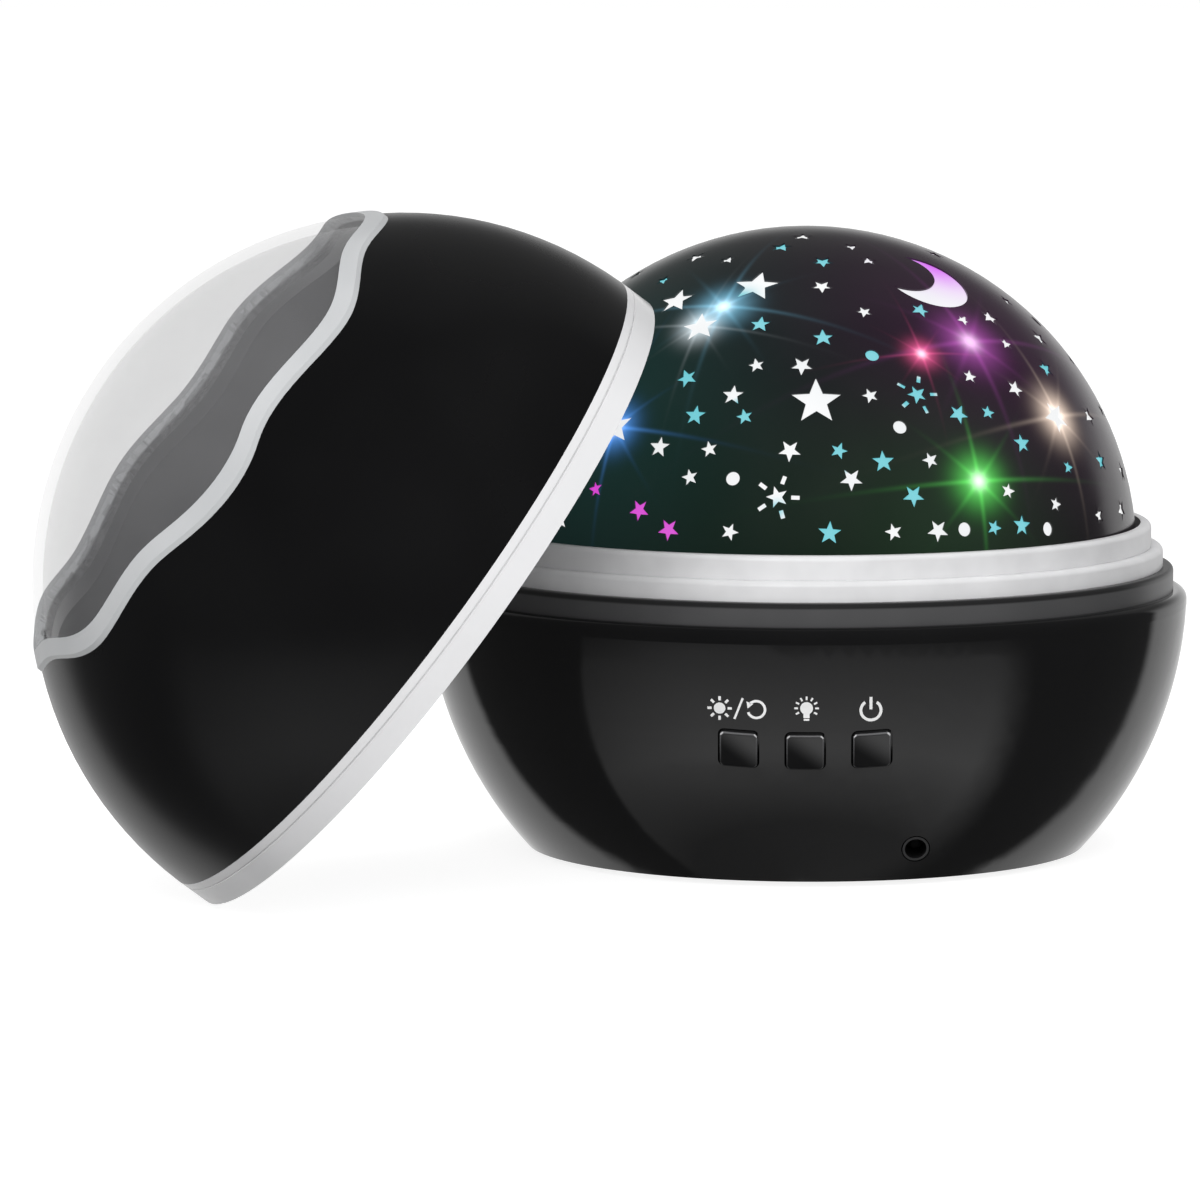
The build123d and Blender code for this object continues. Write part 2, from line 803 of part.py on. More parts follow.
def led_pedestal():
    foot_z = tray_roof_z + tray_wall
    head_z = led_board_z - pedestal_flange
    waist_z = foot_z + pedestal_flange
    shoulder_z = head_z - (pedestal_head_radius - pedestal_neck_radius) / 2
    bore = pedestal_neck_radius - pedestal_wall
    body = turned(
        Polyline(
            (bore, foot_z),
            (pedestal_foot_radius, foot_z),
            (pedestal_foot_radius, waist_z),
            (pedestal_neck_radius, waist_z + pedestal_flange),
            (pedestal_neck_radius, shoulder_z),
            (pedestal_head_radius, head_z),
            (pedestal_head_radius, led_board_z),
            (bore, led_board_z),
            close=True,
        )
    )
    thread = drilled(
        led_board_z + board_thick - short_screw_length, led_board_z, screw_shank_radius
    )
    return body - ring_of(led_screw_count, led_screw_radius, thread)


def led_board():
    board = drilled(led_board_z, led_board_z + board_thick, led_board_radius)
    hole = drilled(led_board_z, led_board_z + board_thick, screw_shank_radius)
    return board - ring_of(led_screw_count, led_screw_radius, hole)


def led_screws():
    one = Pos(0, 0, led_board_z + board_thick) * screw(short_screw_length)
    return ring_of(led_screw_count, led_screw_radius, one)


def led(turn=None):
    bulb = drilled(0, led_flange_height, led_flange_radius)
    shoulder = led_flange_height + led_body_height
    bulb += drilled(0, shoulder, led_radius)
    bulb += Pos(0, 0, shoulder) * Sphere(led_radius)
    reach = 0 if turn is None else led_ring_radius
    place = Rot(0, 0, turn or 0) * Pos(reach, 0, led_board_z + board_thick)
    return place * bulb


def button_cap(x):
    square = RectangleRounded(button_width, button_width, button_corner)
    stem = Pos(x, 0, cap_back_z) * extrude(square, amount=button_proud + wall_sag - cap_back_z)
    flange = Pos(x, 0, cap_back_z) * block(
        button_flange_width, button_flange_width, button_flange_thick
    )
    cap = button_plane * stem & bowl_core(-button_proud)
    face = cap.faces().sort_by(Axis((0, 0, 0), button_normal))[-1]
    return fillet(face.edges(), button_round) + button_plane * flange


def button_plunger(x):
    length = plunger_out + plunger_sunk
    return button_plane * Pos(x, 0, cap_back_z - length) * drilled(0, length, plunger_radius)


def tact_switches():
    body = Pos(0, 0, control_board_z) * block(switch_width, switch_width, switch_height)
    depth = plunger_sunk + button_travel + plunger_slack
    body -= drilled(switch_top_z - depth, switch_top_z, plunger_radius + plunger_slack)
    return [button_plane * Pos(x, 0, 0) * body for x in button_places]


def control_board():
    board = Pos(0, 0, control_board_z - board_thick) * block(
        control_board_width, control_board_height, board_thick
    )
    for x in (-post_place, post_place):
        board -= Pos(x, 0, 0) * drilled(
            control_board_z - board_thick, control_board_z, screw_shank_radius
        )
    return button_plane * board


def control_screws():
    one = Pos(0, 0, control_board_z - board_thick) * Rot(180, 0, 0) * screw(short_screw_length)
    return [button_plane * Pos(x, 0, 0) * one for x in (-post_place, post_place)]


# Cover, first upright with its rim on z = 0: a ball cap on a straight band
cover_wall = cover_radius - cover_bore
cover_crown = cover_height - cover_band
ball_radius = (cover_radius**2 + cover_crown**2) / (2 * cover_crown)
ball_z = cover_height - ball_radius


def cover_form(offset):
    # Solid cover whose skin is moved out by the offset, with a flat gate mark on top
    ball = ball_radius + offset
    side = sqrt(ball**2 - (cover_band - ball_z) ** 2)
    side_turn = degrees(asin((cover_band - ball_z) / ball))
    gate_turn = degrees(acos(cover_gate / ball))
    gate_z = ball_z + sqrt(ball**2 - cover_gate**2)
    return turned(
        CenterArc((0, ball_z), ball, side_turn, gate_turn - side_turn),
        Polyline((cover_gate, gate_z), (0, gate_z), (0, 0), (side, 0), (side, cover_band)),
    )


def wave_outline(radius):
    samples = wave_count * wave_samples
    points = []
    for i in range(samples):
        turn = 2 * pi * (i + wave_seam_share) / samples
        swing = wave_swing * cos(wave_count * (turn - radians(wave_start)))
        points.append(((radius + swing) * cos(turn), (radius + swing) * sin(turn)))
    return make_face(Spline(*points, periodic=True))


def wave_post(radius):
    # Prism on the wavy outline, taller than the cover
    return extrude(wave_outline(radius), amount=cover_height + 2 * trim_proud)


def cover_pieces():
    band = drilled(0, cover_band, cover_radius) - drilled(0, cover_band, cover_bore)
    groove_z = cover_band - cover_lip - cover_groove
    groove = drilled(groove_z, groove_z + cover_groove, cover_radius + cut_overrun)
    groove -= drilled(groove_z, groove_z + cover_groove, cover_radius - cover_groove)
    above = Pos(0, 0, cover_band) * block(4 * cover_radius, 4 * cover_radius, 2 * cover_height)
    skin = (cover_form(0) & above) - cover_form(-cover_wall)
    bead = (cover_form(trim_proud) & above) - cover_form(-cover_wall)
    edge = wave_post(wave_radius)
    hole = wave_post(wave_radius - trim_width)
    return {
        "cover_rim": band - groove,
        "cover_shell": skin - edge,
        "wave_trim": (bead & edge) - hole,
        "cover_window": (cover_form(0) & hole) - cover_form(-cover_wall),
    }


def lamp_radius(z):
    # Outside of the lamp without its cover, for leaning the cover on
    if z > ring_top_z:
        return sqrt(max(0, dome_radius**2 - (z - dome_z) ** 2))
    if z > ring_step_z:
        return ring_spigot_radius
    if z > deck_top_z:
        return ring_step_radius
    if z > deck_seat_z:
        return collar_radius
    if z > rim_z:
        return rim_radius
    return bowl_radius(max(z, bowl_bottom_z))


def cover_plane(foot_x):
    # The cover stands on the lowest point of its rim, at foot_x and lean_front
    tilt = radians(lean_tilt)
    turn = radians(lean_turn)
    axis = Vector(-cos(tilt) * cos(turn), -cos(tilt) * sin(turn), sin(tilt))
    across = Vector(sin(turn), -cos(turn), 0)
    up = axis.cross(across)
    foot = Vector(foot_x, -lean_front, 0)
    return Plane(origin=foot + up * cover_radius, x_dir=across, z_dir=axis)


def lean_foot():
    # Moves the cover in from the left until its rim is the lean gap from the lamp
    def gap(foot_x):
        place = cover_plane(foot_x)
        gaps = []
        for radius in (cover_radius, cover_bore):
            for i in range(lean_samples):
                turn = 2 * pi * i / lean_samples
                point = place.from_local_coords((radius * cos(turn), radius * sin(turn), 0))
                gaps.append(hypot(point.X, point.Y) - lamp_radius(point.Z))
        return min(gaps)

    far = -rim_radius - 2 * cover_radius
    near = far
    while gap(near) > lean_gap:
        far = near
        near += gap(near) / 2
    for _ in range(lean_steps):
        middle = (far + near) / 2
        if gap(middle) > lean_gap:
            far = middle
        else:
            near = middle
    return far


write("base_bowl", base_bowl())
write("deck", deck())
write("silver_ring", silver_ring())
write("turntable", turntable())
write("dome_lens", dome_shell(dome_radius - mask_thick, dome_radius - mask_thick - lens_wall))
write("star_mask", star_mask())
write("drive_pinion", drive_pinion())
write("motor_shaft", motor_shaft())
write("gear_motor", gear_motor())
write("motor_stand", motor_stand())
write("motor_screws", *motor_screws())
write("bottom_plate", bottom_plate())
write("bottom_screws", *bottom_screws())
write("rubber_feet", *rubber_feet())
write("battery_door", battery_door())
write("door_screw", door_screw())
write("battery_tray", battery_tray())
write("batteries", *batteries())
write("battery_contacts", *battery_contacts())
write("led_pedestal", led_pedestal())
write("led_board", led_board())
write("led_screws", *led_screws())
write("led_white", led())
for led_name, led_turn in led_turns.items():
    write(led_name, led(led_turn))
for button_name, button_x in zip(button_names, button_places):
    write(f"{button_name}_button", button_cap(button_x))
    write(f"{button_name}_plunger", button_plunger(button_x))
write("tact_switches", *tact_switches())
write("control_board", control_board())
write("control_screws", *control_screws())
write("dc_jack", dc_jack())

cover_place = cover_plane(lean_foot())
print("cover foot", cover_place.origin, "axis", cover_place.z_dir)
print("button travel direction", -button_plane.z_dir)
for piece_name, piece in cover_pieces().items():
    write(piece_name, cover_place * piece)
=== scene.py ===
import math

import bmesh
import bpy
from mathutils import Matrix, Vector
from mathutils.bvhtree import BVHTree


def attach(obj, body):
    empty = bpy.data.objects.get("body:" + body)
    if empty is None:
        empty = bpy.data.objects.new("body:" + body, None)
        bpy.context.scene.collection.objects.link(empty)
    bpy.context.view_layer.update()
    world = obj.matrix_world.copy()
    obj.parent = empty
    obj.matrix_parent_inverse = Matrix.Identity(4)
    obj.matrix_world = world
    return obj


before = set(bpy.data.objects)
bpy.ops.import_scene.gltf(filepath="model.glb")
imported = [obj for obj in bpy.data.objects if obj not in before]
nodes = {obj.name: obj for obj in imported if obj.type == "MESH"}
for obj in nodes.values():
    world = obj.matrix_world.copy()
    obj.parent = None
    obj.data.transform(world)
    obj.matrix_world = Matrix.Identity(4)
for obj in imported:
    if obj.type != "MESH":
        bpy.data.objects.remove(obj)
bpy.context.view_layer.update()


# Steps that build node trees

def feed(tree, socket, value):
    # An output is linked, a number or a colour is set
    if isinstance(value, bpy.types.NodeSocket):
        tree.links.new(value, socket)
    else:
        socket.default_value = value


def addMath(tree, operation, *values):
    node = tree.nodes.new("ShaderNodeMath")
    node.operation = operation
    for socket, value in zip(node.inputs, values):
        feed(tree, socket, value)
    return node.outputs[0]


def addVector(tree, operation, *values):
    node = tree.nodes.new("ShaderNodeVectorMath")
    node.operation = operation
    for socket, value in zip(node.inputs, values):
        feed(tree, socket, value)
    return node.outputs["Value" if operation in ("DOT_PRODUCT", "LENGTH") else "Vector"]


def addRange(tree, value, low, high, toLow=0.0, toHigh=1.0, smooth=False):
    node = tree.nodes.new("ShaderNodeMapRange")
    node.interpolation_type = "SMOOTHSTEP" if smooth else "LINEAR"
    tree.links.new(value, node.inputs["Value"])
    for label, number in (("From Min", low), ("From Max", high), ("To Min", toLow), ("To Max", toHigh)):
        node.inputs[label].default_value = number
    return node.outputs["Result"]


def addNoise(tree, vector, scale, detail=2.0, rough=0.5):
    node = tree.nodes.new("ShaderNodeTexNoise")
    node.inputs["Detail"].default_value = detail
    node.inputs["Roughness"].default_value = rough
    tree.links.new(vector, node.inputs["Vector"])
    feed(tree, node.inputs["Scale"], scale)
    return node.outputs["Fac"]


def addMix(tree, factor, first, second, blend="MIX"):
    node = tree.nodes.new("ShaderNodeMix")
    node.data_type = "RGBA"
    node.blend_type = blend
    # Sockets 6 and 7 are the two colours, and 2 is the colour that comes out
    for place, value in ((0, factor), (6, first), (7, second)):
        feed(tree, node.inputs[place], (*value, 1.0) if isinstance(value, tuple) else value)
    return node.outputs[2]


def objectPoint(tree):
    return tree.nodes.new("ShaderNodeTexCoord").outputs["Object"]


# Shared effects, each a node group

def newGroup(name, inputs, outputs):
    tree = bpy.data.node_groups.new(name, "ShaderNodeTree")
    for label, value in inputs.items():
        kind = "NodeSocketVector" if isinstance(value, tuple) else "NodeSocketFloat"
        socket = tree.interface.new_socket(label, in_out="INPUT", socket_type=kind)
        socket.default_value = value
    for label in outputs:
        tree.interface.new_socket(label, in_out="OUTPUT", socket_type="NodeSocketFloat")
    given, out = tree.nodes.new("NodeGroupInput"), tree.nodes.new("NodeGroupOutput")
    return tree, given.outputs, out.inputs


mould = {"scale": 900.0, "fineDetail": 3.0, "fineRough": 0.6, "flowShare": 0.05, "flow": (0.35, 0.65)}


def makeMouldGrain():
    inputs = {"Vector": (0, 0, 0), "Scale": mould["scale"]}
    tree, given, out = newGroup("mouldGrain", inputs, ["Height", "Shade"])
    fine = addNoise(tree, given["Vector"], given["Scale"], mould["fineDetail"], mould["fineRough"])
    flow = addNoise(tree, given["Vector"], addMath(tree, "MULTIPLY", given["Scale"], mould["flowShare"]))
    tree.links.new(fine, out["Height"])
    tree.links.new(addRange(tree, flow, *mould["flow"]), out["Shade"])
    return tree


smear = {"scale": 25.0, "ridgeShare": 9.0, "ridgeDetail": 4.0, "ridgeRough": 0.65, "patch": (0.5, 0.72)}


def makeHandSmear():
    tree, given, out = newGroup("handSmear", {"Vector": (0, 0, 0), "Scale": smear["scale"]}, ["Smear"])
    broad = addNoise(tree, given["Vector"], given["Scale"])
    ridgeScale = addMath(tree, "MULTIPLY", given["Scale"], smear["ridgeShare"])
    ridges = addNoise(tree, given["Vector"], ridgeScale, smear["ridgeDetail"], smear["ridgeRough"])
    patch = addRange(tree, broad, *smear["patch"], smooth=True)
    tree.links.new(addMath(tree, "MULTIPLY", patch, ridges), out["Smear"])
    return tree


brush = {"scale": 300.0, "stretch": (1.0, 1.0, 14.0), "detail": 3.0, "shade": (0.3, 0.7)}


def makeBrushLines():
    inputs = {"Vector": (0, 0, 0), "Scale": brush["scale"]}
    tree, given, out = newGroup("brushLines", inputs, ["Height", "Shade"])
    drawn = addVector(tree, "MULTIPLY", given["Vector"], brush["stretch"])
    lines = addNoise(tree, drawn, given["Scale"], brush["detail"])
    tree.links.new(lines, out["Height"])
    tree.links.new(addRange(tree, lines, *brush["shade"]), out["Shade"])
    return tree


flare = {
    "radius": 0.004, "base": 2.718, "fade": -0.6, "thin": -90.0,
    # Turn and reach of each ray
    "rays": ((0.0, 1.0), (math.pi / 2, 0.8), (math.pi / 4, 0.45), (-math.pi / 4, 0.45)),
}


def makeSpotGlow():
    # A soft spot round a centre, and thin rays that cross in it
    inputs = {"Vector": (0, 0, 0), "Centre": (0, 0, 0), "Right": (1, 0, 0), "Up": (0, 0, 1),
              "Radius": flare["radius"]}
    tree, given, out = newGroup("spotGlow", inputs, ["Mask", "Rays"])
    away = addVector(tree, "SUBTRACT", given["Vector"], given["Centre"])
    far = addMath(tree, "DIVIDE", addVector(tree, "LENGTH", away), given["Radius"])
    fall = addMath(tree, "MULTIPLY", addMath(tree, "MULTIPLY", far, far), -1.0)
    tree.links.new(addMath(tree, "POWER", flare["base"], fall), out["Mask"])
    across = addMath(tree, "DIVIDE", addVector(tree, "DOT_PRODUCT", away, given["Right"]), given["Radius"])
    along = addMath(tree, "DIVIDE", addVector(tree, "DOT_PRODUCT", away, given["Up"]), given["Radius"])
    total = 0.0
    for turn, reach in flare["rays"]:
        cos, sin = math.cos(turn), math.sin(turn)
        run = addMath(tree, "ADD", addMath(tree, "MULTIPLY", across, cos),
                      addMath(tree, "MULTIPLY", along, sin))
        off = addMath(tree, "SUBTRACT", addMath(tree, "MULTIPLY", along, cos),
                      addMath(tree, "MULTIPLY", across, sin))
        fade = addMath(tree, "MULTIPLY", addMath(tree, "ABSOLUTE", run), flare["fade"] / reach)
        thin = addMath(tree, "MULTIPLY", addMath(tree, "MULTIPLY", off, off), flare["thin"])
        ray = addMath(tree, "POWER", flare["base"], addMath(tree, "ADD", fade, thin))
        total = addMath(tree, "ADD", total, ray)
    tree.links.new(total, out["Rays"])
    return tree


groups = {tree.name: tree for tree in (makeMouldGrain(), makeHandSmear(), makeBrushLines(), makeSpotGlow())}
print("effects:", ", ".join(groups))


# Finishes

def placeGroup(tree, name, vector, **values):
    node = tree.nodes.new("ShaderNodeGroup")
    node.node_tree = groups[name]
    tree.links.new(vector, node.inputs["Vector"])
    for label, value in values.items():
        node.inputs[label].default_value = value
    return node


# What a finish has unless it says otherwise
usual = {"grain": "mouldGrain", "drift": 0.03, "depth": 0.00003, "sockets": {}}


def startFinish(name, ownLook):
    # Colour and roughness drift with the moulding, gloss carries faint smears
    look = {**usual, **ownLook}
    material = bpy.data.materials.new(name)
    material.use_nodes = True
    tree = material.node_tree
    shader = tree.nodes["Principled BSDF"]
    point = objectPoint(tree)
    grain = placeGroup(tree, look["grain"], point, Scale=look["scale"])
    colour = addMix(tree, grain.outputs["Shade"], look["colour"], look["second"])
    tree.links.new(colour, shader.inputs["Base Color"])
    rough = addRange(tree, grain.outputs["Shade"], 0.0, 1.0, look["rough"], look["rough"] + look["drift"])
    if "smear" in look:
        smears = placeGroup(tree, "handSmear", point, Scale=smear["scale"])
        rough = addMath(tree, "MULTIPLY_ADD", smears.outputs["Smear"], look["smear"], rough)
    tree.links.new(rough, shader.inputs["Roughness"])
    bump = tree.nodes.new("ShaderNodeBump")
    bump.inputs["Strength"].default_value = look["bump"]
    bump.inputs["Distance"].default_value = look["depth"]
    tree.links.new(grain.outputs["Height"], bump.inputs["Height"])
    tree.links.new(bump.outputs["Normal"], shader.inputs["Normal"])
    for label, value in look["sockets"].items():
        shader.inputs[label].default_value = value
    return material, tree, shader, point


satin = {"colour": (0.062, 0.062, 0.064), "second": (0.07, 0.07, 0.072), "scale": 1500.0,
         "rough": 0.32, "bump": 0.08}
finishes = {
    "polishedBlack": {"colour": (0.004, 0.004, 0.0043), "second": (0.006, 0.006, 0.0063), "scale": 500.0,
                      "rough": 0.055, "drift": 0.02, "smear": 0.05, "bump": 0.02},
    "keyCapPaintedHighlights": {"colour": (0.005, 0.005, 0.0053), "second": (0.007, 0.007, 0.0073), "scale": 700.0,
               "rough": 0.12, "smear": 0.05, "bump": 0.02},
    "shellBlack": {"colour": (0.004, 0.004, 0.0043), "second": (0.006, 0.006, 0.0063), "scale": 500.0,
                   "rough": 0.24, "smear": 0.06, "bump": 0.02, "sockets": {"Specular IOR Level": 0.2}},
    "satinBlack": satin,
    "collarBlackPaintedShade": satin,
    "textureBlack": {"colour": (0.018, 0.018, 0.019), "second": (0.028, 0.028, 0.029), "scale": 2600.0,
                     "rough": 0.55, "bump": 0.5},
    "silverLacquer": {"colour": (0.72, 0.72, 0.73), "second": (0.77, 0.77, 0.78), "scale": 3000.0,
                      "rough": 0.34, "bump": 0.05, "sockets": {"Metallic": 0.1}},
    "whiteGloss": {"colour": (0.7, 0.7, 0.71), "second": (0.74, 0.74, 0.75), "scale": 700.0,
                   "rough": 0.16, "smear": 0.08, "bump": 0.03},
    "paleTrim": {"colour": (0.48, 0.49, 0.5), "second": (0.54, 0.55, 0.56), "scale": 900.0,
                 "rough": 0.34, "bump": 0.04},
    "smokyWindow": {"colour": (0.34, 0.34, 0.35), "second": (0.39, 0.39, 0.4), "scale": 1200.0,
                    "rough": 0.22, "smear": 0.1, "bump": 0.05, "sockets": {"Alpha": 0.17}},
    "mouldedWhite": {"colour": (0.72, 0.72, 0.7), "second": (0.78, 0.78, 0.76), "scale": 1800.0,
                     "rough": 0.5, "bump": 0.2},
    "acetal": {"colour": (0.78, 0.76, 0.7), "second": (0.84, 0.82, 0.77), "scale": 1400.0,
               "rough": 0.38, "bump": 0.1},
    "zincSteel": {"grain": "brushLines", "colour": (0.5, 0.5, 0.51), "second": (0.64, 0.64, 0.65),
                  "scale": 400.0, "rough": 0.3, "drift": 0.12, "bump": 0.15, "sockets": {"Metallic": 1.0}},
    "nickelStrip": {"grain": "brushLines", "colour": (0.6, 0.57, 0.5), "second": (0.7, 0.67, 0.6),
                    "scale": 500.0, "rough": 0.24, "drift": 0.1, "bump": 0.1, "sockets": {"Metallic": 1.0}},
    "footRubber": {"colour": (0.03, 0.03, 0.03), "second": (0.045, 0.045, 0.045), "scale": 2200.0,
                   "rough": 0.75, "bump": 0.4},
    "silicone": {"colour": (0.3, 0.3, 0.31), "second": (0.36, 0.36, 0.37), "scale": 1600.0,
                 "rough": 0.6, "bump": 0.15},
    "cellSleeve": {"colour": (0.05, 0.12, 0.08), "second": (0.08, 0.17, 0.11), "scale": 600.0,
                   "rough": 0.3, "bump": 0.05},
    "boardGreen": {"colour": (0.02, 0.1, 0.045), "second": (0.03, 0.15, 0.06), "scale": 1100.0,
                   "rough": 0.35, "bump": 0.2},
    "boardWhite": {"colour": (0.72, 0.74, 0.72), "second": (0.8, 0.81, 0.8), "scale": 1100.0,
                   "rough": 0.4, "bump": 0.2},
    "signWhite": {"colour": (0.8, 0.8, 0.8), "second": (0.9, 0.9, 0.9), "scale": 4000.0,
                  "rough": 0.5, "bump": 0.1},
}
made = {name: startFinish(name, look)[0] for name, look in finishes.items()}


def openFinish(name, label):
    # The finish's tree and the socket that is about to be changed
    tree = made[name].node_tree
    return tree, tree.nodes["Principled BSDF"].inputs[label]


def overlay(tree, socket, mask, colour):
    tree.links.new(addMix(tree, mask, socket.links[0].from_socket, colour), socket)


# The cover's shell is polished outside and matt inside, where the ball is smaller
shell = {"centre": (-0.06569, -0.05766, 0.05122), "inner": 0.0596, "outer": 0.0604, "insideRough": 0.4}


def fromBallCentre(tree):
    return addVector(tree, "LENGTH", addVector(tree, "SUBTRACT", objectPoint(tree), shell["centre"]))


def roughenInside():
    tree, rough = openFinish("shellBlack", "Roughness")
    inside = addRange(tree, fromBallCentre(tree), shell["inner"], shell["outer"], shell["insideRough"], 0.0)
    tree.links.new(addMath(tree, "ADD", rough.links[0].from_socket, inside), rough)


# The wavy trim is pale only where it stands out of the cover; inside the wall it is dark
trim = {"near": 0.0599, "far": 0.0602, "inside": (0.02, 0.02, 0.021)}


def darkenInside():
    tree, colour = openFinish("paleTrim", "Base Color")
    inside = addRange(tree, fromBallCentre(tree), trim["near"], trim["far"], 1.0, 0.0)
    overlay(tree, colour, inside, trim["inside"])


# Painted shade: under the silver ring the collar's top lies in the dark
collar = {"near": 0.0478, "far": 0.0481, "top": (0.016, 0.016, 0.0165)}


def paintShadeUnderRing():
    tree, colour = openFinish("collarBlackPaintedShade", "Base Color")
    height = addVector(tree, "DOT_PRODUCT", objectPoint(tree), (0.0, 0.0, 1.0))
    # Painted shade: the top of the collar's wall is coloured darker where the ring shades it
    overlay(tree, colour, addRange(tree, height, collar["near"], collar["far"]), collar["top"])


# Painted highlights on the caps' rounded edges, strongest along the top and brightest at its corners,
# and a painted sheen on their faces towards the upper right; towards the lower left they are duller, with
# less coat
caps = {
    "pitch": 0.0109, "row": (0.0, -0.06162, 0.0245),
    "up": (0.0, -0.31809, 0.94806), "out": (0.0, -0.94806, -0.31809),
    "bend": 0.0615, "flat": 0.0023, "half": 0.0029,
    "edge": (0.0005, 0.00065), "crest": (0.00045, 0.0006), "corner": (0.00015, 0.0003),
    "paintedEdgeHighlight": (0.13, 0.13, 0.134), "paintedCornerGlint": (0.55, 0.55, 0.56), "lowHighlightShare": 0.12,
    "paintedSheen": (0.018, 0.018, 0.0185), "slantUp": 0.8, "slantRight": 0.6, "slant": (-0.0016, 0.0026),
    "dullest": 0.04, "coat": 1.0, "coatRough": 0.13,
}


def pastFlat(tree, value):
    # How far a point lies past the straight part of a cap's side
    past = addMath(tree, "SUBTRACT", addMath(tree, "ABSOLUTE", value), caps["flat"])
    return addMath(tree, "MAXIMUM", past, 0.0)


def paintCapHighlights():
    tree, colour = openFinish("keyCapPaintedHighlights", "Base Color")
    away = addVector(tree, "SUBTRACT", objectPoint(tree), caps["row"])
    right = addVector(tree, "DOT_PRODUCT", away, (1.0, 0.0, 0.0))
    sideways = addMath(tree, "WRAP", right, caps["pitch"] / 2, -caps["pitch"] / 2)
    along = addVector(tree, "DOT_PRODUCT", away, caps["up"])
    # The caps follow the bowl, so its bend is added back to how far they stand out
    bend = addMath(tree, "MULTIPLY", addMath(tree, "MULTIPLY", right, right), 0.5 / caps["bend"])
    proud = addMath(tree, "ADD", addVector(tree, "DOT_PRODUCT", away, caps["out"]), bend)
    pastSide, pastEnd = pastFlat(tree, sideways), pastFlat(tree, along)
    square = addMath(tree, "MULTIPLY_ADD", pastSide, pastSide, addMath(tree, "MULTIPLY", pastEnd, pastEnd))
    past = addMath(tree, "SQRT", square)
    edge = addMath(tree, "MULTIPLY", addRange(tree, past, *caps["edge"], smooth=True),
                   addRange(tree, proud, *caps["crest"], smooth=True))
    corner = addMath(tree, "MULTIPLY", addRange(tree, pastSide, *caps["corner"]),
                     addRange(tree, pastEnd, *caps["corner"]))
    highlightShare = addRange(tree, along, -caps["half"], caps["half"], caps["lowHighlightShare"], 1.0)
    slant = addMath(tree, "MULTIPLY_ADD", along, caps["slantUp"],
                    addMath(tree, "MULTIPLY", sideways, caps["slantRight"]))
    sheenAndCoat = addRange(tree, slant, *caps["slant"], 0.0, caps["coat"], True)
    # Painted sheen on the face towards the upper right, where the coat is also thicker
    overlay(tree, colour, sheenAndCoat, caps["paintedSheen"])
    # Painted highlight along the rounded edges, strongest at the top, with painted glints at the corners
    overlay(tree, colour, addMath(tree, "MULTIPLY", edge, highlightShare),
            addMix(tree, corner, caps["paintedEdgeHighlight"], caps["paintedCornerGlint"]))
    shader = tree.nodes["Principled BSDF"]
    shader.inputs["Specular IOR Level"].default_value = caps["dullest"]
    shader.inputs["Coat Roughness"].default_value = caps["coatRough"]
    tree.links.new(sheenAndCoat, shader.inputs["Coat Weight"])


roughenInside()
darkenInside()
paintShadeUnderRing()
paintCapHighlights()

leds = {
    "colours": {"ledWhite": (0.9, 0.9, 0.85), "ledRed": (0.85, 0.06, 0.05),
                "ledGreen": (0.06, 0.75, 0.15), "ledBlue": (0.06, 0.18, 0.9)},
    "look": {"scale": 700.0, "rough": 0.12, "bump": 0.02},
    "gain": 1.15, "lift": 0.05, "coreScale": 300.0, "strength": 0.8,
}


def makeLedGlow(name, colour):
    second = tuple(min(1.0, c * leds["gain"] + leds["lift"]) for c in colour)
    material, tree, shader, point = startFinish(name, {**leds["look"], "colour": colour, "second": second})
    core = placeGroup(tree, "mouldGrain", point, Scale=leds["coreScale"])
    tree.links.new(addMix(tree, core.outputs["Shade"], colour, second), shader.inputs["Emission Color"])
    shader.inputs["Emission Strength"].default_value = leds["strength"]
    return material


for name, colour in leds["colours"].items():
    made[name] = makeLedGlow(name, colour)


# Dome: a dark skin over a lit lens

